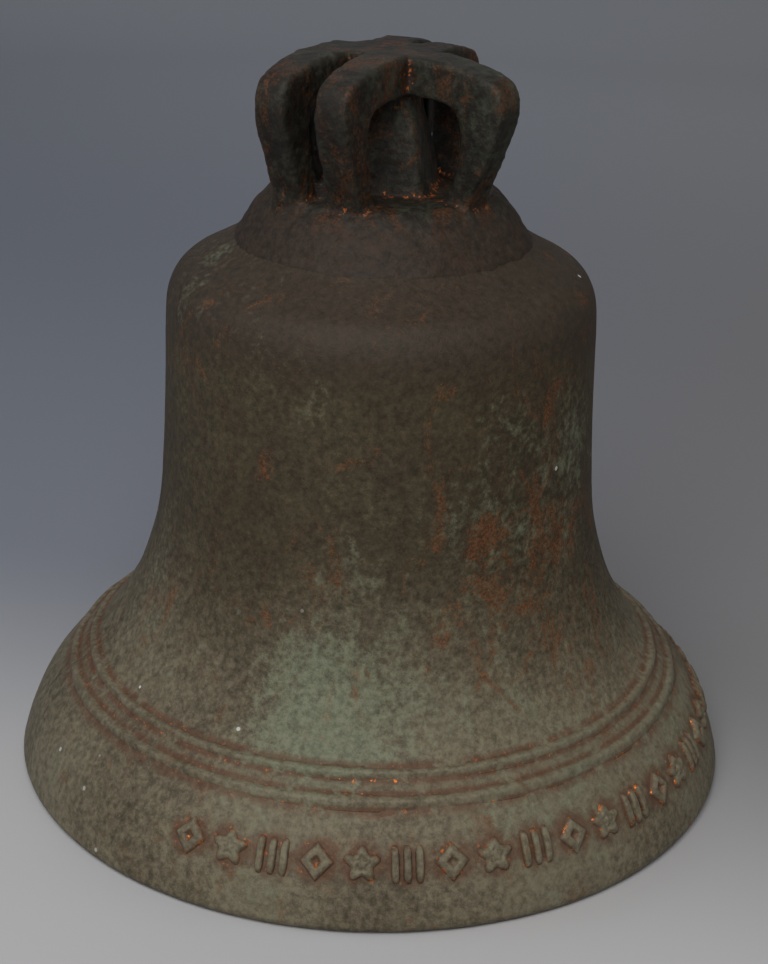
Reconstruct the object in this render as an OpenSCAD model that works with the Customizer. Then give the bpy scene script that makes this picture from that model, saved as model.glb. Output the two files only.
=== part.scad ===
// Cast ship bell: one bronze casting with a crown of six loops, and a wrought-iron clapper hung on a
// bushed eye inside it. It stands on its mouth. Millimetres, +Z up, origin at the mouth's centre.

/* [Bell] */
// Diameter across the mouth
mouth_d = 432; // [420:2:444]
// Height from the mouth to the top of the crown
bell_h = 432; // [428:1:440]
// Width of the flat ring that the bell stands on
lip_flat = 5; // [4:0.5:6]
// How far the moulding wires stand proud of the waist
wire_proud = 2.4; // [1.5:0.1:3]
// How far the cast ornaments stand proud of the bow
relief_proud = 2; // [1:0.1:2.5]

/* [Crown] */
// Half the side of the square argent, the post that the loops spring from
argent_half = 19; // [18:0.5:21]
// Turn of the argent against the loops
argent_turn = 12; // [0:1:20]
// Width of a canon loop
canon_w = 21; // [19:1:22]
// Reach of a loop's elbow from the bell's axis
canon_reach = 80; // [78:1:81]

/* [Clapper] */
// Height of the bolt that the clapper swings on
pivot_z = 276; // [272:1:280]
// Radius of that bolt
bolt_r = 8; // [7:0.5:8]
// Radius of the ball
ball_r = 27; // [24:1:28]
// Height of the ball's centre as it hangs
ball_z = 45; // [44:1:50]
// Radius of the hole that the bell rope is tied through
rope_r = 4; // [3:0.5:4.5]

/* [Hidden] */
$fn = 96;
mouth_r = mouth_d / 2;
bronze = "#5b5647";
iron = "#3a322c";
brass = "#8a7440";

// Outer face of the casting, [radius, height], from the lip up to the seat of the crown plate.
flank = [[216, 5], [212, 19], [201.5, 41], [186.6, 59.4], [174.4, 70.8], [162.3, 82.3], [146.5, 108],
         [136.8, 133], [129.8, 162], [126.8, 197], [125, 245], [124, 283], [121.6, 297],
         [115, 307], [103, 314], [90, 321.5], [82, 327.5], [79.5, 331]] * (mouth_r / 216);
// Inner face of the casting, from the lip up to the underside of the crown.
bore_line = [[207, 0], [197, 8], [186.5, 19], [178, 33], [168, 51], [154, 71], [139.5, 91],
             [130, 110], [122, 134], [116, 163], [113.5, 198], [112, 245], [110.5, 280],
             [104, 297], [88, 306], [60, 310], [0, 310]] * (mouth_r / 216);
seat_z = last(flank)[1];
spans = 4; // straight steps to each span of the smooth outline

// Moulding wires: where each starts and ends, as places counted along the flank's points.
upper_wire = [4, 4.5];
lower_wire = [3, 3.5];
// The band of ornaments, counted in the same way, and the arc that it runs over.
relief_band = [1.25, 2.5];
relief_arc = [-96, 48];
relief_count = 22;
relief_z = 37; // middle of the band

plate_r = 79.5 * mouth_r / 216;
plate_h = 24;
foot_z = seat_z + plate_h;
leg_z = seat_z + 12;   // the legs run down into the domed plate to here
loop_z = 407;    // underside of a loop's bar
crest_z = bell_h - 0.4; // top of the loops, just under the argent's flat top
canon_in = 55;   // inner face of a loop's leg
canon_foot = 62; // outer face of a loop's leg at its foot
argent_base = 34; // half the diagonal of the argent's spreading foot

staple_half = 7;   // half the thickness of the staple's eye
staple_r = 18;     // outer radius of that eye
bush_r = 11.5;
leg_r = 6;         // the staple's legs, cast into the crown
leg_y = 12;
leg_deep = 16;     // how far a leg runs up into the crown
running = 0.05;    // radial clearance of the bolt in its bush
washer_t = 1.5;
washer_r = 14;
side_gap = 0.15;   // play between the staple's eye and each washer
cheek_t = 8;
cheek_r = 15;
jaw_drop = 34;     // from the bolt down to the foot of the jaw
head_t = 7;
nut_t = 11;
spanner = 24;      // width across the flats of the bolt's head and nut
pin_r = 1.6;
shank_top_r = 8;
shank_low_r = 10.5;
neck_r = 12;       // flat that the shank meets on top of the ball
tail_r = 7.5;      // flat that the flight meets under the ball
tail_bottom = 4;   // clear height under the clapper

cheek_in = staple_half + side_gap + washer_t;
cheek_out = cheek_in + cheek_t;
pin_x = cheek_out + nut_t - 2.4;
ball_top = ball_z + sqrt(ball_r * ball_r - neck_r * neck_r);
ball_foot = ball_z - sqrt(ball_r * ball_r - tail_r * tail_r);
rope_eye_t = 9;
crown_under = last(bore_line)[1]; // flat underside of the crown, inside the bell
// Each loop's turn about the axis, how far its plane passes to the side of the axis, and its spread.
canon_turns = [190, -100, -95, -15, 80, 85];
canon_asides = [0, -24, 8, 0, -16, 8];
canon_spreads = [0.75, 1, 1, 1.04, 0.74, 0.82];

function last(list) = list[len(list) - 1];
function at_end(list, i) = list[max(0, min(len(list) - 1, i))];
// Point on the smooth curve through a list of points, at place t counted along the list.
function smooth(list, t) =
    let (i = min(floor(t), len(list) - 2), u = t - i, a = at_end(list, i - 1), b = list[i],
         c = list[i + 1], d = at_end(list, i + 2))
    0.5 * (2 * b + (c - a) * u + (2 * a - 5 * b + 4 * c - d) * u * u
           + (3 * b - a - 3 * c + d) * u * u * u);
function curve(list, from, to) =
    [for (k = [0 : round((to - from) * spans)]) smooth(list, from + k / spans)];
// Unit normal of the flank, pointing out of the metal, at place t.
function outward(t) =
    let (e = smooth(flank, t + 0.02) - smooth(flank, t - 0.02)) [e[1], -e[0]] / norm(e);
function backwards(list) = [for (k = [len(list) - 1 : -1 : 0]) list[k]];

// A half-round wire lying on the flank between two places counted in spans.
module wire(from, to) {
    steps = 10;
    crest = [for (k = [0 : steps]) let (t = from + (to - from) * k / steps)
             smooth(flank, t) + outward(t) * wire_proud * sin(180 * k / steps)];
    rotate_extrude() polygon(concat(crest, backwards(curve(flank, from, to))));
}

module shell_outline() {
    outer = curve(flank, 0, len(flank) - 1);
    inner = curve(bore_line, 0, len(bore_line) - 1);
    lip = [[bore_line[0][0] + lip_flat, 0], [mouth_r - 1, 1.5]];
    polygon(concat(lip, outer, [[0, seat_z]], backwards(inner)));
}

module bell_shell() {
    color(bronze) difference() {
        rotate_extrude() shell_outline();
        staple_legs();
    }
}

module upper_moulding() {
    color(bronze) wire(upper_wire[0], upper_wire[1]);
}

module lower_moulding() {
    color(bronze) wire(lower_wire[0], lower_wire[1]);
}

// The band of ornaments before it is cut up: a thin skin lying on the flank.
module relief_skin() {
    foot = curve(flank, relief_band[0], relief_band[1]);
    steps = len(foot) - 1;
    crest = [for (k = [0 : steps])
             let (t = relief_band[0] + k / spans) smooth(flank, t) + outward(t) * relief_proud];
    rotate_extrude() polygon(concat(foot, backwards(crest)));
}

module lozenge() {
    difference() {
        polygon([[-7.5, 0], [0, -8.5], [7.5, 0], [0, 8.5]]);
        circle(r = 2.5);
    }
}

module rosette() {
    for (a = [0 : 72 : 288]) rotate(a + 90) translate([5.2, 0]) circle(r = 2.9);
    circle(r = 2.6);
}

module billets() {
    for (side = [-1 : 1]) translate([side * 5.2 - 1.6, -8]) square([3.2, 16]);
}

module bow_ornaments() {
    pitch = (relief_arc[1] - relief_arc[0]) / (relief_count - 1);
    color(bronze) intersection() {
        relief_skin();
        for (k = [0 : relief_count - 1])
            rotate([0, 0, relief_arc[0] + pitch * k]) translate([150, 0, relief_z])
                rotate([90, 0, 90]) linear_extrude(80) {
                    if (k % 3 == 0) lozenge();
                    if (k % 3 == 1) rosette();
                    if (k % 3 == 2) billets();
                }
    }
}

module plate_body() {
    rim = [[plate_r, seat_z], [plate_r - 2, seat_z + 6], [plate_r - 6, seat_z + 11],
           [plate_r - 10, seat_z + 16.5], [plate_r - 14, seat_z + 20.5], [plate_r - 18, foot_z]];
    rotate_extrude() polygon(concat([[0, seat_z]], rim, [[0, foot_z]]));
}

module crown_plate() {
    color(bronze) plate_body();
}

// A square post that tapers from one half side to another, with flat faces.
module taper(low_half, high_half, low_z, high_z) {
    side = [[-low_half, low_z], [low_half, low_z], [high_half, high_z], [-high_half, high_z]];
    intersection() {
        rotate([90, 0, 0]) linear_extrude(200, center = true) polygon(side);
        rotate([90, 0, 90]) linear_extrude(200, center = true) polygon(side);
    }
}

module argent_body() {
    rotate([0, 0, argent_turn]) {
        taper(argent_half, argent_half, foot_z, bell_h);
        taper(argent_base / sqrt(2) + 3, argent_half, foot_z, foot_z + 48);
    }
}

module argent() {
    color(bronze) argent_body();
}

// Side view of one loop: outside from the foot up over the elbow to the middle, then back inside.
module loop_outline() {
    over = smooth_all([[canon_foot - 0.5, leg_z], [canon_foot + 1.5, foot_z + 4], [canon_reach - 6, loop_z - 22],
                       [canon_reach, loop_z], [canon_reach - 1, loop_z + 10], [canon_reach - 8, loop_z + 17],
                       [canon_reach - 22, crest_z - 3.6], [canon_reach - 40, crest_z - 1],
                       [argent_half, crest_z], [0, crest_z]]);
    under = smooth_all([[0, loop_z + 3], [argent_half, loop_z + 3], [canon_in - 15, loop_z + 2],
                        [canon_in - 4, loop_z - 2], [canon_in, loop_z - 14], [canon_in - 2, loop_z - 32],
                        [canon_in - 6, foot_z + 6], [canon_in - 9, leg_z]]);
    polygon(concat(over, under));
}
function smooth_all(list) = curve(list, 0, len(list) - 1);

// One loop, standing on its own plane.
module loop_bar(number) {
    rotate([0, 0, canon_turns[number]]) translate([0, canon_asides[number], 0])
        rotate([90, 0, 0]) linear_extrude(canon_w, center = true) scale([canon_spreads[number], 1]) loop_outline();
}

// A loop of the crown, cut where it runs into the argent, the plate and the loop that it joins.
module canon(number, joins) {
    color(bronze) difference() {
        loop_bar(number);
        argent_body();
        plate_body();
        if (joins >= 0) loop_bar(joins);
    }
}

module canon_left() { canon(0, -1); }
module canon_front_left() { canon(1, 0); }
module canon_front() { canon(2, 3); }
module canon_right() { canon(3, -1); }
module canon_rear_right() { canon(4, 3); }
module canon_rear() { canon(5, 0); }

// A bar along X between two places, centred on the clapper's bolt.
module across(from, to, r) {
    translate([from, 0, pivot_z]) rotate([0, 90, 0]) cylinder(h = to - from, r = r);
}

module staple_legs() {
    for (side = [-1, 1])
        translate([0, side * leg_y, crown_under - 12]) cylinder(h = leg_deep + 12, r = leg_r);
}

module crown_staple() {
    color(iron) difference() {
        union() {
            across(-staple_half, staple_half, staple_r);
            translate([-staple_half, -staple_r, pivot_z])
                cube([2 * staple_half, 2 * staple_r, crown_under - 5 - pivot_z]);
            staple_legs();
        }
        across(-staple_half - 1, staple_half + 1, bush_r);
    }
}

module staple_bush() {
    color(brass) difference() {
        across(-staple_half, staple_half, bush_r);
        across(-staple_half - 1, staple_half + 1, bolt_r + running);
    }
}

module thrust_washers() {
    color("#6b4a2f") for (side = [0, 180]) rotate([0, 0, side]) difference() {
        across(staple_half + side_gap, cheek_in, washer_r);
        across(staple_half, cheek_in + 1, bolt_r);
    }
}

module clapper_jaw() {
    jaw_z = pivot_z - jaw_drop;
    color(iron) difference() {
        union() for (side = [0, 180]) rotate([0, 0, side]) {
            across(cheek_in, cheek_out, cheek_r);
            translate([cheek_in, -cheek_r, jaw_z]) cube([cheek_t, 2 * cheek_r, jaw_drop]);
            translate([0, -cheek_r, jaw_z]) cube([cheek_in, 2 * cheek_r, jaw_drop - staple_r - 3]);
        }
        across(-cheek_out - 1, cheek_out + 1, bolt_r);
    }
}

// A hexagon prism along X, from one place to another.
module hexagon(from, to) {
    translate([from, 0, pivot_z]) rotate([0, 90, 0])
        cylinder(h = to - from, r = spanner / sqrt(3), $fn = 6);
}

module clapper_bolt() {
    color(iron) difference() {
        union() {
            hexagon(-cheek_out - head_t, -cheek_out);
            across(-cheek_out, cheek_out + nut_t + 3, bolt_r);
        }
        split_pin_hole();
    }
}

module split_pin_hole() {
    translate([pin_x, 0, pivot_z]) rotate([90, 0, 0]) cylinder(h = 60, r = pin_r, center = true);
}

module castle_nut() {
    color(iron) difference() {
        hexagon(cheek_out, cheek_out + nut_t);
        across(cheek_out - 1, cheek_out + nut_t + 1, bolt_r);
        for (turn = [0 : 60 : 120]) translate([pin_x, 0, pivot_z]) rotate([turn, 0, 0])
            translate([-pin_r, -spanner, -pin_r]) cube([2 * pin_r + 10, 2 * spanner, 2 * pin_r]);
    }
}

module split_pin() {
    eye_r = 3.5;
    color(iron) translate([pin_x, 0, pivot_z]) {
        translate([0, -spanner / 2 - 2, 0]) rotate([-90, 0, 0]) cylinder(h = spanner + 6, r = pin_r);
        translate([0, spanner / 2 + 3 + eye_r, 0]) rotate_extrude() translate([eye_r, 0]) circle(r = pin_r);
    }
}

module clapper_shank() {
    color(iron) translate([0, 0, ball_top]) cylinder(h = pivot_z - jaw_drop - ball_top,
                                                    r1 = shank_low_r, r2 = shank_top_r);
}

module clapper_ball() {
    color(iron) intersection() {
        translate([0, 0, ball_z]) sphere(r = ball_r);
        translate([0, 0, ball_foot]) cylinder(h = ball_top - ball_foot, r = ball_r + 1);
    }
}

module clapper_flight() {
    eye_z = tail_bottom + tail_r;
    color(iron) difference() {
        union() {
            translate([0, 0, eye_z]) rotate([0, 90, 0]) cylinder(h = rope_eye_t, r = tail_r, center = true);
            translate([-rope_eye_t / 2, -tail_r, eye_z]) cube([rope_eye_t, 2 * tail_r, ball_foot - eye_z - 2]);
            translate([0, 0, ball_foot - 3]) cylinder(h = 3, r = tail_r);
        }
        translate([0, 0, eye_z]) rotate([0, 90, 0]) cylinder(h = 30, r = rope_r, center = true);
    }
}

bell_shell();
upper_moulding();
lower_moulding();
bow_ornaments();
crown_plate();
argent();
canon_left();
canon_front_left();
canon_front();
canon_right();
canon_rear_right();
canon_rear();
crown_staple();
staple_bush();
clapper_jaw();
clapper_bolt();
thrust_washers();
castle_nut();
split_pin();
clapper_shank();
clapper_ball();
clapper_flight();
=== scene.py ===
# %% [markdown]
# # A ship bell in bronze
#
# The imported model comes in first, as a frame that never moves. Every size below is read from it, or is a
# plain number in metres beside the thing it belongs to. The cells then go from the camera, through the
# shader helpers and the surface helpers, to the casting, the clapper and the studio.

import math

import bpy
import numpy as np
from mathutils import Matrix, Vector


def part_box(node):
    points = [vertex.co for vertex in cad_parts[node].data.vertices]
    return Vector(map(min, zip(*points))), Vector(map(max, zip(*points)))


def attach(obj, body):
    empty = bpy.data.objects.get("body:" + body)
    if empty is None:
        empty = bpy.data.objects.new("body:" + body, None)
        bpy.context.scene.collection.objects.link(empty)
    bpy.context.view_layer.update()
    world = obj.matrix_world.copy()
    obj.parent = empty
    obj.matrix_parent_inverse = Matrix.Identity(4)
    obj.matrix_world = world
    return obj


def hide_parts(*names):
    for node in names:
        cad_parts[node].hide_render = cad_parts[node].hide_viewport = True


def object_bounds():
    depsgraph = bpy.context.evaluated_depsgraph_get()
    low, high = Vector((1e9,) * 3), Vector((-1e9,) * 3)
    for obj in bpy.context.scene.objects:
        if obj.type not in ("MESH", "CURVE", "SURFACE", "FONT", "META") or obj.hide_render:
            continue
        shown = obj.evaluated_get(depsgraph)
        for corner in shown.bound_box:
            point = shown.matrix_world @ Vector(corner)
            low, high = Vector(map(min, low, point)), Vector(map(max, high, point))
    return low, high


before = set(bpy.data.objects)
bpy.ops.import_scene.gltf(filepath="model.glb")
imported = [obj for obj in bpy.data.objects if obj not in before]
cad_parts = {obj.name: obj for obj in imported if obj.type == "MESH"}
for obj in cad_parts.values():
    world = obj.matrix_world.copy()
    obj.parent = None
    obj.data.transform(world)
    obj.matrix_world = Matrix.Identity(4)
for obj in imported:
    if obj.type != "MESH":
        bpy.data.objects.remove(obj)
cad_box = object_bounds()
MOUTH_R = cad_box[1][0]
TOP_Z = cad_box[1][2]
print("mouth radius", round(MOUTH_R, 4), "height", round(TOP_Z, 4))

# %% [markdown]
# ## The camera
#
# The bell is seen from a little above, by a camera about 1.2 m away that leans a degree and a half to one
# side. Three unit vectors say which way it faces, and they are the columns of its matrix, so no
# constraint or empty is needed.

# %% The camera
CAMERA_AZIMUTH = math.radians(22.0)
CAMERA_RISE = math.radians(22.98)
CAMERA_LEAN = math.radians(1.531)
CAMERA_DISTANCE = 1.2023
AIM = np.array([0.00396, 0.0016, 0.1720])
LENS = 74.82


def unit(vector):
    """The vector divided by its own length."""
    vector = np.asarray(vector, dtype=float)
    return vector / np.linalg.norm(vector)


back = np.array([math.sin(CAMERA_AZIMUTH) * math.cos(CAMERA_RISE),
                 -math.cos(CAMERA_AZIMUTH) * math.cos(CAMERA_RISE),
                 math.sin(CAMERA_RISE)])
level = unit(np.cross([0.0, 0.0, 1.0], back))
upright = np.cross(back, level)
right = math.cos(CAMERA_LEAN) * level + math.sin(CAMERA_LEAN) * upright
up = math.cos(CAMERA_LEAN) * upright - math.sin(CAMERA_LEAN) * level

camera = bpy.data.objects.new("camera", bpy.data.cameras.new("camera"))
bpy.context.scene.collection.objects.link(camera)
camera.data.lens = LENS
camera.data.clip_end = 20.0
pose = np.eye(4)
pose[:3, 0], pose[:3, 1], pose[:3, 2] = right, up, back
pose[:3, 3] = AIM + back * CAMERA_DISTANCE
camera.matrix_world = Matrix(pose.tolist())
bpy.context.scene.camera = camera
print("camera at", np.round(pose[:3, 3], 3))

# %% [markdown]
# ## Shader maths
#
# A material is easier to read as a formula than as a list of nodes. The class below wraps one socket, and
# each operator adds the Math node it stands for. Every node is made by one function, which takes the
# node's type, its settings and what goes into its sockets.


# %% A socket that can be added and multiplied
class Wire:
    """One output socket of a node tree. Arithmetic on it adds Math nodes to the same tree."""

    def __init__(self, tree, socket):
        self.tree = tree
        self.socket = socket

    def maths(self, operation, *others):
        """A Math node that takes this socket first and then the others."""
        node = add_node(self.tree, "ShaderNodeMath", {"operation": operation})
        for place, value in enumerate((self, *others)):
            feed(self.tree, node.inputs[place], value)
        return Wire(self.tree, node.outputs[0])

    def __add__(self, other):
        return self.maths("ADD", other)

    def __radd__(self, other):
        return self.maths("ADD", other)

    def __sub__(self, other):
        return self.maths("SUBTRACT", other)

    def __rsub__(self, other):
        return self.maths("MULTIPLY_ADD", -1.0, other)

    def __mul__(self, other):
        return self.maths("MULTIPLY", other)

    def __rmul__(self, other):
        return self.maths("MULTIPLY", other)

    def clamp(self):
        """The value held between 0 and 1."""
        return self.maths("MINIMUM", 1.0).maths("MAXIMUM", 0.0)

    def between(self, low, high):
        """0 below low, 1 above high, and a smooth ramp from one to the other."""
        node = add_node(self.tree, "ShaderNodeMapRange", {"interpolation_type": "SMOOTHSTEP"},
                        From_Min=low, From_Max=high, Value=self)
        return Wire(self.tree, node.outputs["Result"])


def feed(tree, socket, value):
    """Gives a socket a link where value is a Wire, and a plain value otherwise."""
    if isinstance(value, Wire):
        tree.links.new(value.socket, socket)
    else:
        socket.default_value = value


def add_node(tree, kind, settings=None, **inputs):
    """Any node: its settings are set first, then its sockets, with spaces written as underscores."""
    made = tree.nodes.new(kind)
    for key, value in (settings or {}).items():
        setattr(made, key, value)
    for key, value in inputs.items():
        feed(tree, made.inputs[key.replace("_", " ")], value)
    return made


# %% A material in the making
class Finish:
    """A material being written: its tree, its Principled shader and short names for common nodes."""

    def __init__(self, name):
        self.material = bpy.data.materials.new(name)
        self.material.use_nodes = True
        self.tree = self.material.node_tree
        self.shader = self.tree.nodes["Principled BSDF"]
        self.place = self.node("ShaderNodeTexCoord", out="Object")

    def node(self, kind, settings=None, out=0, **inputs):
        """Any node in this material's tree, of which one output comes back."""
        return Wire(self.tree, add_node(self.tree, kind, settings, **inputs).outputs[out])

    def noise(self, scale, detail=4.0, roughness=0.55, at=None, distortion=0.0):
        """Cloudy noise from 0 to 1, with this many lumps to the metre."""
        return self.node("ShaderNodeTexNoise", Vector=at or self.place, Scale=scale, Detail=detail,
                         Roughness=roughness, Distortion=distortion)

    def cells(self, scale):
        """Distance to the nearest of a scatter of points, with this many points to the metre."""
        return self.node("ShaderNodeTexVoronoi", {"feature": "F1"}, out="Distance", Vector=self.place,
                         Scale=scale)

    def mix(self, factor, first, second):
        """The first colour where factor is 0, and the second where it is 1."""
        made = add_node(self.tree, "ShaderNodeMix", {"data_type": "RGBA"}, Factor=factor)
        for key, value in (("A", first), ("B", second)):
            socket = [s for s in made.inputs if s.name == key and s.type == "RGBA"][0]
            feed(self.tree, socket, value)
        return Wire(self.tree, [s for s in made.outputs if s.type == "RGBA"][0])

    def parts(self):
        """The three coordinates of the piece, one Wire each."""
        made = add_node(self.tree, "ShaderNodeSeparateXYZ", Vector=self.place)
        return [Wire(self.tree, made.outputs[k]) for k in range(3)]

    def own(self, attribute):
        """A number that the mesh carries at each point."""
        return self.node("ShaderNodeAttribute", {"attribute_name": attribute}, out="Fac")

    def bump(self, height, distance=1.0):
        """A surface normal tilted by a height, in metres when distance is 1."""
        return self.node("ShaderNodeBump", Strength=1.0, Distance=distance, Height=height)

    def set(self, **inputs):
        """Feeds the Principled shader's sockets, with spaces written as underscores."""
        for key, value in inputs.items():
            feed(self.tree, self.shader.inputs[key.replace("_", " ")], value)


def colour(red, green, blue):
    """A colour from 0 to 255 display values to the linear values that a shader takes."""
    def straighten(v):
        v = v / 255.0
        return v / 12.92 if v <= 0.04045 else ((v + 0.055) / 1.055) ** 2.4
    return (straighten(red), straighten(green), straighten(blue), 1.0)


def dimmed(share, shade):
    """A display colour with its three values scaled by one share, as the linear values of a shader."""
    return colour(*(share * value for value in shade))


# %% [markdown]
# ## Surfaces from arrays
#
# Every new piece is a grid of points worked out at once with numpy. The helper below joins the grid into
# quads, closes the seams that are asked for, and can close a pole where a whole row meets at a point.


# %% A mesh from a grid of points
def surface(name, points, wrap_rows=False, wrap_columns=False, cap_ends=False):
    """A mesh from an array of rows by columns by 3. Quads join each point to the next in both ways."""
    rows, columns = points.shape[:2]
    index = np.arange(rows * columns).reshape(rows, columns)
    if wrap_rows:
        index = np.vstack([index, index[:1]])
    if wrap_columns:
        index = np.hstack([index, index[:, :1]])
    quads = np.stack([index[:-1, :-1], index[:-1, 1:], index[1:, 1:], index[1:, :-1]], -1).reshape(-1, 4)
    vertices = points.reshape(-1, 3)
    faces = quads.tolist()
    if cap_ends:
        ends = np.array([points[0].mean(0), points[-1].mean(0)])
        first, last = len(vertices), len(vertices) + 1
        vertices = np.vstack([vertices, ends])
        faces += [[first, b, a] for a, b in zip(index[0, :-1].tolist(), index[0, 1:].tolist())]
        faces += [[last, a, b] for a, b in zip(index[-1, :-1].tolist(), index[-1, 1:].tolist())]
    mesh = bpy.data.meshes.new(name)
    mesh.from_pydata(vertices.tolist(), [], faces)
    mesh.update()
    return mesh


def point_array(mesh):
    """The mesh's points as an array, one row each."""
    flat = np.empty(len(mesh.vertices) * 3)
    mesh.vertices.foreach_get("co", flat)
    return flat.reshape(-1, 3)


def normal_array(mesh):
    """The mesh's point normals as an array, one row each."""
    flat = np.empty(len(mesh.vertices) * 3)
    mesh.vertex_normals.foreach_get("vector", flat)
    return flat.reshape(-1, 3)


def carry(mesh, attribute, values):
    """Writes one number per point into the mesh, for a material to read by name."""
    layer = mesh.attributes.new(attribute, "FLOAT", "POINT")
    layer.data.foreach_set("value", np.asarray(values, dtype=np.float32))


def piece(mesh, finish, body, slot, *stands_for):
    """A finished object in the scene: its material, the body it rides on and what it stands for."""
    made = bpy.data.objects.new(mesh.name, mesh)
    bpy.context.scene.collection.objects.link(made)
    mesh.materials.clear()
    mesh.materials.append(finish)
    mesh.polygons.foreach_set("use_smooth", np.ones(len(mesh.polygons), dtype=bool))
    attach(made, body)
    if stands_for:
        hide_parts(*stands_for)
    print(made.name, len(mesh.polygons), "faces")
    return made


# %% Smooth noise in space, for uneven castings
def lumps(points, size, seed):
    """Value noise from -1 to 1: random numbers at the corners of cubes of this size, blended smoothly."""
    table = np.random.default_rng(seed).uniform(-1.0, 1.0, (32, 32, 32))
    scaled = np.asarray(points) / size + 1000.0
    corner = np.floor(scaled).astype(int)
    part = scaled - corner
    part = part * part * (3.0 - 2.0 * part)
    total = np.zeros(len(scaled))
    for dx in (0, 1):
        for dy in (0, 1):
            for dz in (0, 1):
                weight = (np.where(dx, part[:, 0], 1 - part[:, 0]) * np.where(dy, part[:, 1], 1 - part[:, 1])
                          * np.where(dz, part[:, 2], 1 - part[:, 2]))
                total += weight * table[(corner[:, 0] + dx) % 32, (corner[:, 1] + dy) % 32,
                                        (corner[:, 2] + dz) % 32]
    return total


def roughen(mesh, *coats):
    """Moves each point along its normal by lumps of (size, height), one coat on top of another."""
    points, normals = point_array(mesh), normal_array(mesh)
    for seed, (size, height) in enumerate(coats):
        points = points + normals * (lumps(points, size, seed + 11) * height)[:, None]
    mesh.vertices.foreach_set("co", points.ravel())
    mesh.update()


def hollows(mesh, rounds):
    """How far each point lies below the middle of its neighbours, along its normal: + in a crease."""
    points, normals = point_array(mesh), normal_array(mesh)
    edges = np.empty(len(mesh.edges) * 2, dtype=np.int64)
    mesh.edges.foreach_get("vertices", edges)
    first, second = edges[::2], edges[1::2]
    count = np.bincount(edges, minlength=len(points))[:, None].clip(1)
    value = points
    for _ in range(rounds):
        around = np.zeros_like(value)
        for axis in range(3):
            around[:, axis] = (np.bincount(first, value[second, axis], len(points))
                               + np.bincount(second, value[first, axis], len(points)))
        value = around / count
    return ((value - points) * normals).sum(1)


# %% [markdown]
# ## The outline of the bell
#
# A founder cuts the outline of a bell into a board and sweeps it round in loam. The outline here is a
# short list of points with a Catmull-Rom curve through them, the same that the frame was designed with.

# %% The outline, as a curve through points
MM = 0.001
DRAWN_MOUTH_R = 0.216
SWEEP = MOUTH_R / DRAWN_MOUTH_R
FLANK = SWEEP * MM * np.array([
    [216, 5], [212, 19], [201.5, 41], [186.6, 59.4], [174.4, 70.8], [162.3, 82.3], [146.5, 108],
    [136.8, 133], [129.8, 162], [126.8, 197], [125, 245], [124, 283], [121.6, 297], [115, 307],
    [103, 314], [90, 321.5], [82, 327.5], [79.5, 331]])
BORE = SWEEP * MM * np.array([
    [207, 0], [197, 8], [186.5, 19], [178, 33], [168, 51], [154, 71], [139.5, 91], [130, 110],
    [122, 134], [116, 163], [113.5, 198], [112, 245], [110.5, 280], [104, 297], [88, 306],
    [60, 310], [0, 310]])


def smooth(line, places):
    """Catmull-Rom curve through the points of a line, at places counted along its points."""
    line = np.asarray(line, dtype=float)
    places = np.atleast_1d(np.asarray(places, dtype=float))
    start = np.clip(np.floor(places).astype(int), 0, len(line) - 2)
    u = (places - start)[:, None]
    a, b = line[np.clip(start - 1, 0, None)], line[start]
    c, d = line[start + 1], line[np.clip(start + 2, None, len(line) - 1)]
    return 0.5 * (2 * b + (c - a) * u + (2 * a - 5 * b + 4 * c - d) * u ** 2
                  + (3 * b - a - 3 * c + d) * u ** 3)


def outward(line, places):
    """Unit normals of a line at places, to the right of the way that the line runs."""
    run = smooth(line, np.asarray(places) + 0.01) - smooth(line, np.asarray(places) - 0.01)
    return np.stack([run[:, 1], -run[:, 0]], 1) / np.linalg.norm(run, axis=1)[:, None]


def spin(profile, columns):
    """A profile of (radius, height) turned about the axis: rows follow the profile, columns go round."""
    turn = np.linspace(0.0, 2.0 * math.pi, columns, endpoint=False)
    radius, height = profile[:, 0][:, None], profile[:, 1][:, None]
    return np.stack([radius * np.cos(turn), radius * np.sin(turn), height + 0.0 * turn], -1)


# %% [markdown]
# ## The bronze
#
# Old bell bronze goes brown first, then green where rain has run, and the copper shows again wherever
# the skin breaks: in the creases beside a moulding, round a letter and at the foot of a loop. The
# material mixes these four skins. Noise decides where each one lies, height decides how much of it there
# is, and two numbers that each mesh carries, "crease" and "edge", bring the copper and the pale crests.
# The pale crests are partly wear and partly a painted highlight.

# %% The colours of old bronze, and where they lie
# Each skin runs from a deep colour to a pale one, in display values from 0 to 255.
BROWN = ((42, 35, 25), (72, 61, 46))
OLIVE = ((48, 43, 28), (82, 73, 53))
# The pale dust pair is the dust low on the bell, and also the painted highlight on crests and edges.
PALE_DUST_AND_HIGHLIGHT = ((88, 82, 66), (128, 119, 99))
PLUM = ((44, 36, 29), (66, 56, 46))
MOSS = ((78, 84, 66), (124, 130, 108))
OCHRE = ((74, 46, 26), (126, 74, 38))
PLATE_BROWN = ((36, 28, 22), (60, 48, 38))
PIT, RAW_RED, COPPER, CHALK = (30, 26, 20), (86, 50, 34), (196, 112, 52), (205, 205, 200)
# Heights in metres: dust fades out over the first pair, plum comes in over the second, and the crown's
# plate gives way to its loops over the third.
DUST_FADE, PLUM_RISE, PLATE_FADE = (0.055, 0.20), (0.262, 0.30), (0.340, 0.357)
# A place on the bell and how far it reaches, all in metres: a pale green patch and two at the right.
PALE_PLACE, GREEN_PLACE = (0.030, -0.140, 0.088, 0.065), (0.110, -0.045, 0.215, 0.085)
RUST_PLACE = (0.125, -0.060, 0.150, 0.10)
print("the patina has", len((BROWN, OLIVE, PALE_DUST_AND_HIGHLIGHT, PLUM, MOSS, OCHRE, PLATE_BROWN)), "skins")


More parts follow.
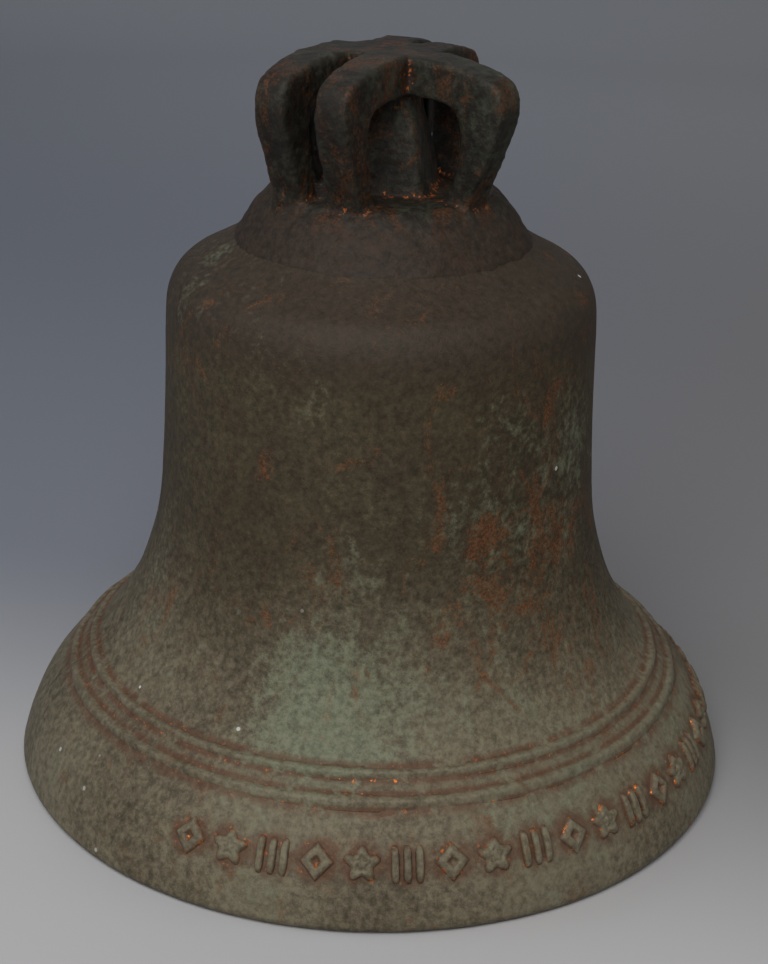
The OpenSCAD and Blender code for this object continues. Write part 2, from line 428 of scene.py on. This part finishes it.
# %% Bronze with its patina
def bronze(name, green=1.0, dark=1.0, rusty=0.35, calm=1.0, plated=False):
    """Cast bronze: green and rusty say how much verdigris and rust there is, dark scales the lightness,
    calm holds back the copper flecks in the creases, and plated browns the crown's plate."""
    skin = Finish(name)
    east, north, height = skin.parts()
    streak = skin.node("ShaderNodeMapping", Vector=skin.place, Scale=(1.0, 1.0, 0.65))
    broad = skin.noise(9.0, 5.0, 0.6, at=streak)
    patch = skin.noise(62.0, 7.0, 0.74, at=streak, distortion=0.5)
    grain = skin.noise(240.0, 5.0, 0.75)
    speck = skin.noise(620.0, 3.0, 0.7)
    low = 1.0 - height.between(*DUST_FADE)
    shoulder = height.between(*PLUM_RISE)

    def near(x, y, z, reach):
        """1 at a place on the bell, fading to 0 at reach metres from it, by the square of the distance."""
        off_x, off_y, off_z = east - x, north - y, height - z
        return 1.0 - (off_x * off_x + off_y * off_y + off_z * off_z).between(0.0, reach * reach)

    def pair(deep, pale, sharp=0.78):
        """A colour that runs from deep to pale with the grain."""
        return skin.mix(grain.between(0.22, sharp), dimmed(dark, deep), dimmed(dark, pale))

    skin_colour = skin.mix(patch.between(0.30, 0.70), pair(*BROWN), pair(*OLIVE))
    dusty = (broad * 0.55 + patch * 0.16 + grain * 0.36 + low * 0.16 - shoulder * 0.2).between(0.44, 0.80)
    skin_colour = skin.mix((dusty * (0.2 + 0.9 * low)).clamp(), skin_colour, pair(*PALE_DUST_AND_HIGHLIGHT))
    skin_colour = skin.mix(shoulder * 0.85, skin_colour, pair(*PLUM))

    right_place = near(*GREEN_PLACE)
    moss = (patch * 0.45 + broad * 0.5 + grain * 0.35 + low * 0.04 + near(*PALE_PLACE) * 0.17
            + right_place * 0.12 + (green - 1.0) * 0.5).between(0.70, 0.92) * (green * 0.8)
    skin_colour = skin.mix(moss.clamp(), skin_colour, pair(*MOSS, 0.72))

    drift = (skin.noise(30.0, 7.0, 0.78, at=streak, distortion=1.2) + (speck - 0.5) * 0.25
             + near(*RUST_PLACE) * 0.06 + right_place * 0.05)
    rust = drift.between(0.60 - 0.10 * rusty, 0.72 - 0.10 * rusty) * (0.50 + 0.25 * rusty)
    warm = 0.4 + 0.6 * dark
    ochre = skin.mix(speck.between(0.42, 0.60), *(dimmed(warm, shade) for shade in OCHRE))
    skin_colour = skin.mix(rust, skin_colour, ochre)

    pits = grain.between(0.60, 0.72) * speck.between(0.45, 0.6)
    skin_colour = skin.mix(pits * 0.4, skin_colour, dimmed(dark, PIT))

    crease = skin.own("crease").clamp()
    edge = skin.own("edge").clamp()
    broken = skin.noise(70.0, 4.0, 0.7)
    red = (crease * 1.5 * broken.between(0.34, 0.52)).clamp()
    skin_colour = skin.mix(red * 0.65, skin_colour, dimmed(dark, RAW_RED))
    flecks = skin.noise(300.0, 3.0, 0.6).between(0.56 + 0.07 * calm, 0.66 + 0.03 * calm)
    copper = (crease * 1.6 - 0.5 * calm).clamp() * flecks
    skin_colour = skin.mix(copper, skin_colour, colour(*COPPER))
    # Painted highlight and wear: crests and edges, by the "edge" number, are mixed a third of the way to the
    # pale dust colour.
    skin_colour = skin.mix(edge * 0.35, skin_colour, pair(*PALE_DUST_AND_HIGHLIGHT))
    if plated:
        plate = 1.0 - height.between(*PLATE_FADE)
        brown = skin.mix(grain.between(0.3, 0.7), *(colour(*shade) for shade in PLATE_BROWN))
        skin_colour = skin.mix(plate * 0.85, skin_colour, brown)

    chalk = (1.0 - skin.cells(30.0).between(0.035, 0.045)) * skin.noise(3.0).between(0.47, 0.6)
    skin_colour = skin.mix(chalk, skin_colour, colour(*CHALK))

    rise = patch * 0.0006 + grain * 0.00045 + speck * 0.00016 + skin.cells(900.0) * 0.00008
    skin.set(Base_Color=skin_colour, Metallic=copper * 0.75 + 0.08, Specular_IOR_Level=0.25,
             Roughness=0.62 - copper * 0.22 + (grain - 0.5) * 0.25 - edge * 0.08, Normal=skin.bump(rise))
    return skin.material


waist_bronze = bronze("waist_bronze")
relief_bronze = bronze("relief_bronze", rusty=0.6, calm=0.1)
crown_bronze = bronze("crown_bronze", green=1.2, dark=0.50, rusty=1.1, calm=0.0, plated=True)
print("bronze is ready")

# %% [markdown]
# ## The shell
#
# The casting is one closed surface of revolution: the outside from the crown to the lip, the lip's flat
# ring, and the inside back up to the crown. Loam castings are never quite round, so slow lumps a third
# of a millimetre high are laid over it, with a finer coat for the sand.

# %% The shell as a surface of revolution
COLUMNS = 480
SEAT_Z = FLANK[-1, 1]
LIP_R, LIP_ROUND, LIP_RISE = 0.2115, 0.0045, 0.005
AXIS_R = 0.001

outside = smooth(FLANK, np.linspace(len(FLANK) - 1, 0, 112))
lip_turn = np.radians(np.linspace(15, 80, 5))
lip_round = np.stack([SWEEP * (LIP_R + LIP_ROUND * np.cos(lip_turn)), LIP_RISE - LIP_RISE * np.sin(lip_turn)],
                     1)
ring = np.array([[0.2118, 0.0], [0.2094, 0.0], [0.2072, 0.0]]) * [SWEEP, 1.0]
inside = smooth(BORE, np.linspace(0, len(BORE) - 1, 74))
crown_top = np.array([[AXIS_R, SEAT_Z], [0.03, SEAT_Z], [0.06, SEAT_Z]])
inside[-1, 0] = AXIS_R
profile = np.vstack([crown_top, outside, lip_round, ring, inside])
shell_mesh = surface("bell_casting", spin(profile, COLUMNS), wrap_columns=True, cap_ends=True)
print("the profile has", len(profile), "points")

# %% [markdown]
# ## Creases on the shell
#
# Dirt and damp stay beside a moulding and round an ornament, and the skin breaks there first. The shell
# carries a number that is 1 in those places. The band is 22 groups long, evenly spaced round the front,
# and each wire lies between two places counted along the outline's points.

# %% Creases beside the wires and round the ornaments
BAND_START, BAND_TURN, BAND_COUNT = -96.0, 144.0, 22
BAND_Z = 0.037
UPPER_WIRE = (4.0, 4.5)
LOWER_WIRE = (3.0, 3.5)
ORNAMENT_R = 0.009
OUTER_FACE_R = 0.190


def crease_beside(mesh, edges, reach):
    """1 at each edge of a wire, fading to 0 over reach: 1 - distance / reach."""
    points = point_array(mesh)
    here = np.stack([np.hypot(points[:, 0], points[:, 1]), points[:, 2]], 1)
    gap = np.min([np.linalg.norm(here - smooth(FLANK, place)[0], axis=1) for place in edges], 0)
    return np.clip(1.0 - gap / reach, 0.0, 1.0)


def crease_around_band(mesh, reach):
    """1 over each ornament, fading to 0 over reach beyond its rim, and 0 inside OUTER_FACE_R."""
    points = point_array(mesh)
    radius, turn = np.hypot(points[:, 0], points[:, 1]), np.arctan2(points[:, 1], points[:, 0])
    step = math.radians(BAND_TURN / (BAND_COUNT - 1))
    along = (turn - math.radians(BAND_START)) / step
    nearest = np.clip(np.round(along), 0, BAND_COUNT - 1)
    off = np.hypot((along - nearest) * step * radius, (points[:, 2] - BAND_Z) * 1.15)
    return np.where(radius > OUTER_FACE_R, np.clip(1.0 - (off - ORNAMENT_R) / reach, 0.0, 1.0), 0.0)


roughen(shell_mesh, (0.060, 0.00030), (0.016, 0.00012), (0.005, 0.00007))
above_ground = point_array(shell_mesh)
above_ground[:, 2] = np.maximum(above_ground[:, 2], 0.0)
shell_mesh.vertices.foreach_set("co", above_ground.ravel())
carry(shell_mesh, "crease", np.maximum(crease_beside(shell_mesh, [*UPPER_WIRE, *LOWER_WIRE], 0.0035),
                                      0.8 * crease_around_band(shell_mesh, 0.006)))
carry(shell_mesh, "edge", np.zeros(len(shell_mesh.vertices)))
piece(shell_mesh, waist_bronze, "bell", "cast_bronze", "bell_shell")

# %% [markdown]
# ## The moulding wires
#
# A wire is a low rounded ridge. Its height over the flank is a raised cosine, so that it runs out into
# the shell without a step, and slow noise makes it fade and swell as a worn moulding does.


# %% Two wires on the flank
WIRE_PROUD = 0.0020


def wire(name, start, end, stands_for):
    """A closed ridge: its crest stands WIRE_PROUD * (1 - cos) / 2 over the flank, its back below it."""
    places = np.linspace(start - 0.03, end + 0.03, 17)
    swell = 0.5 * (1.0 - np.cos(np.linspace(0, 2 * math.pi, 17)))
    normal = outward(FLANK, places)
    crest = smooth(FLANK, places) + normal * (WIRE_PROUD * swell - 0.0003)[:, None]
    back_line = (smooth(FLANK, places) - normal * 0.0012)[::-1]
    mesh = surface(name, spin(np.vstack([crest, back_line]), 540), wrap_rows=True, wrap_columns=True)
    roughen(mesh, (0.045, 0.00040), (0.009, 0.00030), (0.003, 0.00012))
    points = point_array(mesh)
    here = np.stack([np.hypot(points[:, 0], points[:, 1]), points[:, 2]], 1)
    far = np.minimum(*(np.linalg.norm(here - smooth(FLANK, p)[0], axis=1) for p in (start, end)))
    carry(mesh, "crease", np.clip(1.0 - far / 0.0022, 0, 1))
    # Painted highlight and wear: the crest of the wire, away from its two edges, carries "edge" and comes out
    # paler.
    carry(mesh, "edge", np.clip(far / 0.004 - 0.3, 0, 1))
    piece(mesh, waist_bronze, "bell", "cast_bronze", stands_for)


wire("upper_moulding_cast", *UPPER_WIRE, "upper_moulding")
wire("lower_moulding_cast", *LOWER_WIRE, "lower_moulding")

# %% [markdown]
# ## The band of ornaments
#
# Stamped ornaments are pressed into the mould from wooden blocks, so they come out with soft edges and
# stand about two and a half millimetres proud. Three blocks take turns: a pierced lozenge, a five-leaved
# rosette and three upright billets. Each is a small dome on a polar grid: a shape in the plane of the
# flank, then bent on to it.


# %% Bending flat points on to the flank
def flank_at(height):
    """The place along the flank where it passes a height, found by halving."""
    low, high = 0.0, 6.0
    for _ in range(40):
        middle = 0.5 * (low + high)
        low, high = (middle, high) if smooth(FLANK, middle)[0, 1] < height else (low, middle)
    return low


BAND_PLACE = flank_at(BAND_Z)
PER_METRE = 0.1 / np.linalg.norm(smooth(FLANK, BAND_PLACE + 0.05)[0] - smooth(FLANK, BAND_PLACE - 0.05)[0])
print("the band lies at place", round(BAND_PLACE, 3), "of the outline")


def lay_on_flank(across, along, rise, angle):
    """Bends flat points on to the bell: across goes round it, along goes up the flank, rise stands off."""
    places = BAND_PLACE + along * PER_METRE
    base, normal = smooth(FLANK, places.ravel()), outward(FLANK, places.ravel())
    spot = base + normal * rise.ravel()[:, None]
    turn = angle + across.ravel() / base[:, 0]
    flat = np.stack([spot[:, 0] * np.cos(turn), spot[:, 0] * np.sin(turn), spot[:, 1]], 1)
    return flat.reshape(*across.shape, 3)


# %% The three blocks
RELIEF_PROUD = 0.0026
BILLET_PITCH = 0.0066
RINGS = np.array([0.03, 0.12, 0.22, 0.32, 0.42, 0.52, 0.64, 0.76, 0.86, 0.93, 0.98, 1.0, 1.0])


def rim_point(kind, turn):
    """Distance from an ornament's centre to its rim at an angle, in metres."""
    if kind == "lozenge":
        return 0.0112 / (np.abs(np.cos(turn)) * 1.15 + np.abs(np.sin(turn)))
    if kind == "rosette":
        return 0.0088 + 0.0018 * np.cos(5 * (turn - math.pi / 2))
    return (np.abs(np.cos(turn) / 0.0024) ** 4 + np.abs(np.sin(turn) / 0.0105) ** 4) ** -0.25


def dome(kind, middle, angle):
    """A closed dome: rise is proud * (1 - r^5), with a dimple or a pierced middle, over its own rim."""
    turn = np.linspace(0, 2 * math.pi, 48, endpoint=False)[None, :]
    out = RINGS[:, None]
    reach = rim_point(kind, turn) * out
    rise = RELIEF_PROUD * (1.0 - out ** 5) + 0.0 * turn
    if kind == "lozenge":
        rise = rise - RELIEF_PROUD * 0.9 * np.exp(-(out / 0.30) ** 4)
    if kind == "rosette":
        rise = (rise - RELIEF_PROUD * 0.45 * np.exp(-((out - 0.36) / 0.10) ** 2)
                - RELIEF_PROUD * 0.25 * (out > 0.4) * (0.5 + 0.5 * np.cos(5 * (turn + math.pi / 2))) * out)
    rise[-1] = -0.0010
    rise[-2] = np.minimum(rise[-2], 0.0)
    points = lay_on_flank(middle + reach * np.cos(turn), reach * np.sin(turn), rise, angle)
    crease = np.clip((out - 0.80) / 0.15, 0, 1) + 0.0 * turn
    if kind == "lozenge":
        crease = np.maximum(crease, np.exp(-(out / 0.30) ** 4))
    return points, crease


def joined(name, patches):
    """One mesh from several closed grids, with their crease numbers carried along."""
    vertices, faces, crease, start = [], [], [], 0
    for points, worn in patches:
        part = surface("part", points, wrap_columns=True, cap_ends=True)
        flat = point_array(part)
        corners = [tuple(p.vertices) for p in part.polygons]
        faces += [tuple(v + start for v in face) for face in corners]
        vertices.append(flat)
        crease.append(np.concatenate([worn.ravel(), worn[0, :1], worn[-1, :1]]))
        start += len(flat)
        bpy.data.meshes.remove(part)
    mesh = bpy.data.meshes.new(name)
    mesh.from_pydata(np.vstack(vertices).tolist(), [], faces)
    mesh.update()
    carry(mesh, "crease", np.concatenate(crease))
    # Painted highlight and wear: each dome's top, away from its rim and pierced middle, carries "edge" and
    # comes out paler.
    carry(mesh, "edge", 0.6 - np.concatenate(crease) * 0.6)
    return mesh


# %% The band, three blocks in turn
patches = []
for number in range(BAND_COUNT):
    angle = math.radians(BAND_START + BAND_TURN * number / (BAND_COUNT - 1))
    kind = ("lozenge", "rosette", "billet")[number % 3]
    for middle in ((-BILLET_PITCH, 0.0, BILLET_PITCH) if kind == "billet" else (0.0,)):
        patches.append(dome(kind, middle, angle))
band_mesh = joined("bow_ornaments_cast", patches)
roughen(band_mesh, (0.004, 0.00018), (0.0015, 0.00008))
piece(band_mesh, relief_bronze, "bell", "cast_bronze", "bow_ornaments")

# %% [markdown]
# ## The crown
#
# The crown plate, the argent and the six loops were cast with the bell, and run into one another with
# soft fillets. Each is first made as a surface of its own, with its ends buried in its neighbours; a voxel
# remesh then joins them into one skin, and a smoothing pass lays the fillets.

# %% The crown's parts
PLATE_Z = SEAT_Z
FOOT_Z = PLATE_Z + 0.024
LOOP_HALF = 0.0105
ARGENT_TURN = math.radians(12.0)
ARGENT_FOOT, ARGENT_NECK, ARGENT_TOP = 0.034, 0.0285, 0.0185
# each loop's turn in degrees, its distance aside in metres and its spread
LOOPS = [(190, 0.0, 0.75), (-100, -0.024, 1.0), (-95, 0.008, 1.0), (-15, 0.0, 1.04), (80, -0.016, 0.74),
         (85, 0.008, 0.82)]

loop_outer = MM * np.array([[62.0, 338], [62.8, 357], [68.5, 371], [74.5, 386], [80.0, 403], [79.6, 415],
                            [73.5, 424], [58, 428.6], [40, 431.0], [19, 431.8], [0, 431.8]])
loop_inner = MM * np.array([[44.5, 338], [48.0, 357], [51.5, 367], [53.5, 378], [54.5, 391], [53.0, 401],
                            [48.0, 406.5], [40, 409], [30, 409.7], [19, 410], [0, 410]])


def squircle(turn, power):
    """A rounded square of half side 1: cosine and sine raised to 2 / power, with their signs kept."""
    wave = np.stack([np.cos(turn), np.sin(turn)], -1)
    return np.sign(wave) * np.abs(wave) ** (2.0 / power)


def loop(turn_z, aside, spread):
    """A canon: rounded squares between its outer and inner line, from foot to hub, set aside and turned."""
    places = np.linspace(0, len(loop_outer) - 1, 84)
    outer, inner = smooth(loop_outer, places), smooth(loop_inner, places)
    rim = squircle(np.linspace(0, 2 * math.pi, 52, endpoint=False), 8.0)
    middle, half = 0.5 * (outer + inner), 0.5 * (outer - inner)
    hub = np.clip((places - 6.0) / 3.2, 0, 1)
    foot = np.exp(-(places / 0.9) ** 2)
    width = LOOP_HALF * (1.0 + 0.30 * hub + 0.12 * foot)[:, None] * (1.0 - 0.06 * rim[None, :, 0])
    flat = middle[:, None, :] + half[:, None, :] * rim[None, :, :1]
    around = np.stack([spread * flat[..., 0], width * rim[None, :, 1] + aside, flat[..., 1]], -1)
    c, s = math.cos(turn_z), math.sin(turn_z)
    return around @ np.array([[c, s, 0], [-s, c, 0], [0, 0, 1]])


def argent_post():
    """A post of rounded squares: the half side narrows from 34 mm to 28.5 in the plate, and to 18.5 above."""
    height = np.linspace(PLATE_Z, TOP_Z - 0.0003, 40)
    half = np.interp(height, [PLATE_Z, FOOT_Z, FOOT_Z + 0.048, TOP_Z],
                     [ARGENT_FOOT, ARGENT_NECK, ARGENT_TOP, ARGENT_TOP])
    rim = squircle(np.linspace(0, 2 * math.pi, 64, endpoint=False), 9.0)
    c, s = math.cos(ARGENT_TURN), math.sin(ARGENT_TURN)
    flat = half[:, None, None] * (rim @ np.array([[c, s], [-s, c]]))[None]
    return np.concatenate([flat, np.broadcast_to(height[:, None, None], (40, 64, 1))], -1)


plate_line = MM * np.array([[0.5, 320], [84, 320], [86.2, 322.6], [84.6, 326.2], [82.2, 329.2],
                            [80.2, 332.2], [78.3, 335.6], [76.3, 339.0], [73.3, 342.6], [69.5, 347.0],
                            [65.5, 351.3], [61.5, 354.4], [55, 355], [0.5, 355]])
crown_parts = [surface("plate", spin(plate_line, 160), wrap_columns=True, cap_ends=True),
               surface("post", argent_post(), wrap_columns=True, cap_ends=True)]
crown_parts += [surface("loop", loop(math.radians(turn), aside, spread), wrap_columns=True, cap_ends=True)
                for turn, aside, spread in LOOPS]
print("the crown has", len(crown_parts), "parts before they are joined")

# %% Join the crown and lay its fillets
VOXEL = 0.0012
HOLLOW_ROUNDS = 14


def fused(name, parts):
    """One skin from several closed meshes: joined, remeshed in small voxels and smoothed."""
    merged = bpy.data.meshes.new("raw")
    vertices = [point_array(part) for part in parts]
    starts = np.cumsum([0] + [len(v) for v in vertices])
    faces = [tuple(v + int(start) for v in p.vertices)
             for part, start in zip(parts, starts) for p in part.polygons]
    merged.from_pydata(np.vstack(vertices).tolist(), [], faces)
    merged.update()
    worker = bpy.data.objects.new("worker", merged)
    bpy.context.scene.collection.objects.link(worker)
    remesh = worker.modifiers.new("skin", "REMESH")
    remesh.mode = "VOXEL"
    remesh.voxel_size = VOXEL
    soften = worker.modifiers.new("fillets", "SMOOTH")
    soften.factor = 0.5
    soften.iterations = 3
    view = bpy.context.evaluated_depsgraph_get()
    done = bpy.data.meshes.new_from_object(worker.evaluated_get(view), depsgraph=view)
    bpy.data.objects.remove(worker)
    for part in [*parts, merged]:
        bpy.data.meshes.remove(part)
    done.name = name
    return done


crown_mesh = fused("crown_cast", crown_parts)
sunk = hollows(crown_mesh, HOLLOW_ROUNDS)
carry(crown_mesh, "crease", np.clip(sunk / 0.0011, 0, 1))
# Painted highlight and wear: points that stand above their neighbours carry "edge" and come out paler.
carry(crown_mesh, "edge", np.clip(-sunk / 0.0018, 0, 1))
roughen(crown_mesh, (0.020, 0.0006), (0.007, 0.00045), (0.0028, 0.00028))
under_top = point_array(crown_mesh)
under_top[:, 2] = np.minimum(under_top[:, 2], TOP_Z)
crown_mesh.vertices.foreach_set("co", under_top.ravel())
piece(crown_mesh, crown_bronze, "bell", "cast_bronze", "crown_plate", "argent", "canon_left",
      "canon_front_left", "canon_front", "canon_right", "canon_rear_right", "canon_rear")

# %% [markdown]
# ## The clapper and its ironwork
#
# The clapper is one forging: a jaw that straddles the staple, a tapered shank, a ball and a short flight
# with an eye for the rope. The flats and holes are already right in the frame, so those pieces keep their
# shape and only get a finish. The shank and the ball are drawn again as one hammered surface each.


# %% Forged iron, bearing brass and greased leather
def forged_iron(name, bright=1.0):
    """Old wrought iron: black, half-metallic scale and brown rust in clouds."""
    skin = Finish(name)
    cloud = skin.noise(45.0, 6.0, 0.65)
    grain = skin.noise(420.0, 4.0, 0.7)
    pit = skin.cells(330.0).between(0.05, 0.4)
    rust = (cloud * 0.7 + grain * 0.3).between(0.44, 0.6)
    scale = skin.mix(grain.between(0.3, 0.7), dimmed(bright, (40, 37, 35)), dimmed(bright, (66, 61, 57)))
    brown = skin.mix(grain.between(0.35, 0.7), dimmed(bright, (74, 46, 30)), dimmed(bright, (112, 72, 44)))
    rise = grain * 0.00035 + pit * 0.0002 + cloud * 0.0008
    skin.set(Base_Color=skin.mix(rust * 0.75, scale, brown), Metallic=0.55 - rust * 0.5,
             Roughness=0.5 + rust * 0.3, Normal=skin.bump(rise))
    return skin.material


def bearing_brass(name):
    """Turned brass, browned by grease in clouds, with a fine scratchy bump."""
    skin = Finish(name)
    cloud = skin.noise(90.0, 5.0, 0.6)
    scratch = skin.noise(900.0, 2.0, 0.6)
    skin.set(Base_Color=skin.mix(cloud.between(0.35, 0.65), colour(178, 142, 72), colour(112, 84, 46)),
             Metallic=0.9, Roughness=0.32 + cloud * 0.2, Normal=skin.bump(scratch, 0.00008))
    return skin.material


def greased_leather(name):
    """Oak-bark leather dark with tallow: a pebbled grain of small cells and slow stains."""
    skin = Finish(name)
    pebble = skin.cells(1100.0)
    stain = skin.noise(60.0, 4.0, 0.6)
    skin.set(Base_Color=skin.mix(stain.between(0.35, 0.65), colour(84, 52, 31), colour(46, 29, 19)),
             Roughness=0.45 + stain * 0.25, Normal=skin.bump(pebble, 0.0003))
    return skin.material


# %% Finishes for the pieces that keep their shape
iron = forged_iron("forged_iron")
bolt_iron = forged_iron("bolt_iron", 1.25)
for node, finish in (("crown_staple", iron), ("staple_bush", bearing_brass("bearing_brass")),
                     ("thrust_washers", greased_leather("greased_leather")), ("clapper_jaw", iron),
                     ("clapper_bolt", bolt_iron), ("castle_nut", bolt_iron), ("split_pin", bolt_iron),
                     ("clapper_flight", iron)):
    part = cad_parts[node]
    for place in part.material_slots:
        place.material = finish
    print(node, "keeps its shape")

# %% The shank and the ball, hammered to shape
shank_low, shank_high = (corner[2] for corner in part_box("clapper_shank"))
BALL_R, _, ball_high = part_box("clapper_ball")[1]
NECK_R, TAIL_R = 0.012, 0.0075
SHANK_LOW_R, SHANK_HIGH_R, SHANK_FLARE = 0.0105, 0.008, 0.0012


def hammered(name, line, columns, body, stands_for):
    """A turned surface whose radius is pressed in by shallow flats, as a hammer leaves it."""
    mesh = surface(name, spin(line, columns), wrap_columns=True, cap_ends=True)
    points = point_array(mesh)
    dents = np.minimum(lumps(points, 0.011, 5), 0.2) * 0.0005 + lumps(points, 0.004, 6) * 0.00012
    radius = np.maximum(np.hypot(points[:, 0], points[:, 1]), 0.004)
    points[:, :2] *= (1.0 + (dents - 0.0002) / radius)[:, None]
    mesh.vertices.foreach_set("co", points.ravel())
    mesh.update()
    piece(mesh, iron, body, "wrought_iron", stands_for)


rise = np.linspace(0, 1, 70)
shank_r = (SHANK_LOW_R + (SHANK_HIGH_R - SHANK_LOW_R) * rise
           + SHANK_FLARE * np.exp(-(rise / 0.04) ** 2))
hammered("clapper_shank_forged", np.stack([shank_r, shank_low + (shank_high - shank_low) * rise], 1)[::-1],
         56, "clapper", "clapper_shank")
ball_z = ball_high - math.sqrt(BALL_R ** 2 - NECK_R ** 2)
turn = np.linspace(math.asin(NECK_R / BALL_R), math.pi - math.asin(TAIL_R / BALL_R), 60)
hammered("clapper_ball_forged", np.stack([BALL_R * np.sin(turn), ball_z + BALL_R * np.cos(turn)], 1),
         96, "clapper", "clapper_ball")

# %% [markdown]
# ## The studio
#
# A pale sheet lies under the bell and sweeps up all round it. It is pale in front and shaded behind, so
# the ground is pale and the background grey. Seen from below the sheet is clear, and it is cut away inside
# the mouth, so that the hollow and the clapper can be looked at.


# %% The sweep of paper
def paper():
    """Matt paper, pale in front and shaded behind, that lets rays through from its underside."""
    skin = Finish("paper")
    east, north, height = skin.parts()
    turn = math.radians(CAMERA_AZIMUTH)
    behind = north * math.cos(turn) - east * math.sin(turn)
    beside = east * math.cos(turn) + north * math.sin(turn)
    # Painted light and shade on the paper: pale in front, a darker grey behind that is bluer on the left, and
    # paler again far back up the sweep.
    shade = skin.mix(beside.between(-0.5, 0.3), colour(120, 125, 137), colour(128, 127, 129))
    far = skin.mix(beside.between(-0.7, 0.7), colour(166, 170, 178), colour(168, 166, 160))
    shade = skin.mix(behind.between(0.7, 2.4), shade, far)
    skin.set(Base_Color=skin.mix(behind.between(-0.20, 0.17), colour(179, 179, 181), shade), Roughness=0.9)
    facing = skin.node("ShaderNodeNewGeometry", out="Backfacing")
    clear = skin.node("ShaderNodeBsdfTransparent")
    choice = add_node(skin.tree, "ShaderNodeMixShader")
    for place, value in enumerate((facing, Wire(skin.tree, skin.shader.outputs[0]), clear)):
        feed(skin.tree, choice.inputs[place], value)
    surface_socket = skin.tree.nodes["Material Output"].inputs["Surface"]
    feed(skin.tree, surface_socket, Wire(skin.tree, choice.outputs[0]))
    return skin.material


HOLE_R, FLAT_R, BEND_R = 0.2117, 2.2, 1.2
PAPER_Z = -0.0002
bend = np.linspace(0.05, math.pi / 2, 16)
radial = np.concatenate([np.linspace(HOLE_R, FLAT_R, 24), FLAT_R + BEND_R * np.sin(bend), [3.4, 3.4]])
climb = np.concatenate([np.zeros(24), BEND_R * (1 - np.cos(bend)), [2.4, 4.0]])
floor_mesh = surface("floor", spin(np.stack([radial, climb + PAPER_Z], 1), 96), wrap_columns=True)
floor_mesh.flip_normals()
floor = bpy.data.objects.new("floor", floor_mesh)
bpy.context.scene.collection.objects.link(floor)
floor_mesh.materials.append(paper())
floor_mesh.polygons.foreach_set("use_smooth", np.ones(len(floor_mesh.polygons), dtype=bool))
print("the paper starts", HOLE_R, "m from the axis")

# %% [markdown]
# ## Lights and air
#
# One broad soft light stands above the camera, with a weak one on each side and one behind. A last one
# lies under the bell and lights the hollow through the hole in the paper, which keeps it off the rest.
# Grey air fills the shadows.


# %% Lights and air
def soft_light(name, azimuth, rise, distance, size, watts, tint):
    """A square area light that looks at the middle of the bell from an azimuth and a rise in degrees."""
    lamp = bpy.data.lights.new(name, "AREA")
    lamp.size, lamp.energy, lamp.color = size, watts, tint
    holder = bpy.data.objects.new(name, lamp)
    bpy.context.scene.collection.objects.link(holder)
    a, e = math.radians(azimuth), math.radians(rise)
    away = np.array([math.sin(a) * math.cos(e), -math.cos(a) * math.cos(e), math.sin(e)])
    side = unit(np.cross([0, 0, 1], away))
    matrix = np.eye(4)
    matrix[:3, 0], matrix[:3, 1], matrix[:3, 2] = side, np.cross(away, side), away
    matrix[:3, 3] = away * distance + [0, 0, 0.2]
    holder.matrix_world = Matrix(matrix.tolist())


soft_light("key", 10, 48, 2.2, 1.6, 42, (1.0, 0.985, 0.96))
soft_light("left", -70, 30, 2.4, 1.2, 8, (0.86, 0.92, 1.0))
soft_light("right", 112, 30, 2.4, 1.2, 6, (1.0, 0.97, 0.93))
soft_light("behind", 205, 45, 2.6, 1.4, 6, (0.95, 0.97, 1.0))
soft_light("under", 30, -50, 1.8, 1.2, 14, (1.0, 0.98, 0.95))
AIR_GREY, AIR_STRENGTH = (0.62, 0.62, 0.62, 1.0), 0.18
world = bpy.data.worlds.new("air")
bpy.context.scene.world = world
world.use_nodes = True
world.node_tree.nodes["Background"].inputs["Color"].default_value = AIR_GREY
world.node_tree.nodes["Background"].inputs["Strength"].default_value = AIR_STRENGTH
bpy.context.scene.view_settings.view_transform = "Standard"
